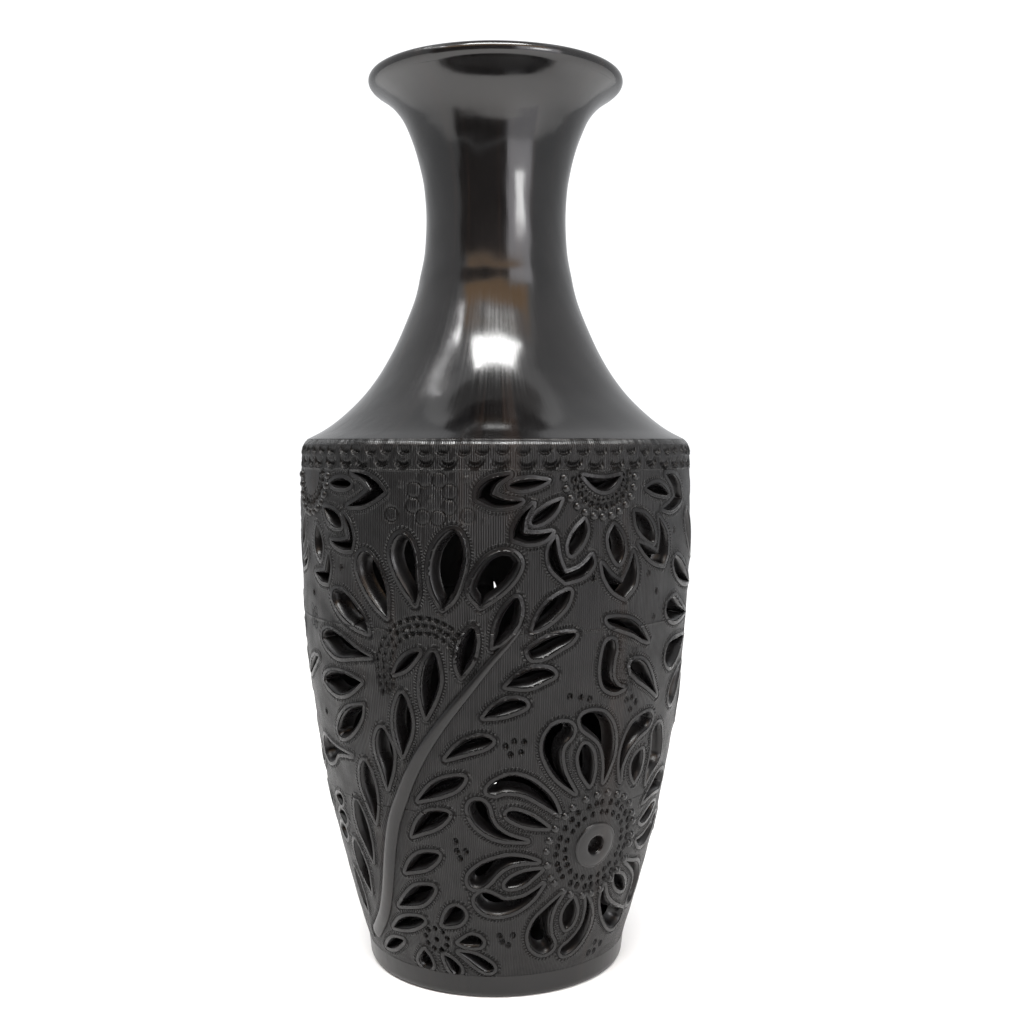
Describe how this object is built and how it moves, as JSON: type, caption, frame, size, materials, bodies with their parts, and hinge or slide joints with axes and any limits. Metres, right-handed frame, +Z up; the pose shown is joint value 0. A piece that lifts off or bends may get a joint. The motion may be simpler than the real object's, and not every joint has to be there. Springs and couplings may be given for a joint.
{
  "type": "black clay jar",
  "caption": "Tall burnished-neck black clay jar with a carved and pierced body of flowers, leaf spray and stamped band, open at the mouth and flat-footed.",
  "frame": {"origin": "centre of the foot, on the surface the jar stands on", "axes": "+Z up the jar's axis to the mouth; the front panel with the leaf spray and the big flower faces -Y"},
  "size_m": [0.2212, 0.2212, 0.5005],
  "materials": {
    "carved_clay": "matte",
    "burnished_clay": "burnished",
    "polished_relief": "satin"
  },
  "bodies": {
    "root": {"base_bowl": "carved_clay", "lower_wall": "carved_clay", "middle_wall": "carved_clay", "upper_wall": "carved_clay", "stamped_band": "carved_clay", "shoulder": "burnished_clay", "neck": "burnished_clay", "mouth": "burnished_clay", "rim_coil": "burnished_clay", "flower_beads_front": "polished_relief", "flower_boss_front": "polished_relief", "spray_stem_front": "polished_relief", "flower_beads_back": "polished_relief", "flower_boss_back": "polished_relief", "spray_stem_back": "polished_relief", "hanging_beads_1": "polished_relief", "hanging_beads_2": "polished_relief", "hanging_beads_3": "polished_relief", "hanging_beads_4": "polished_relief"}
  },
  "joints": []
}
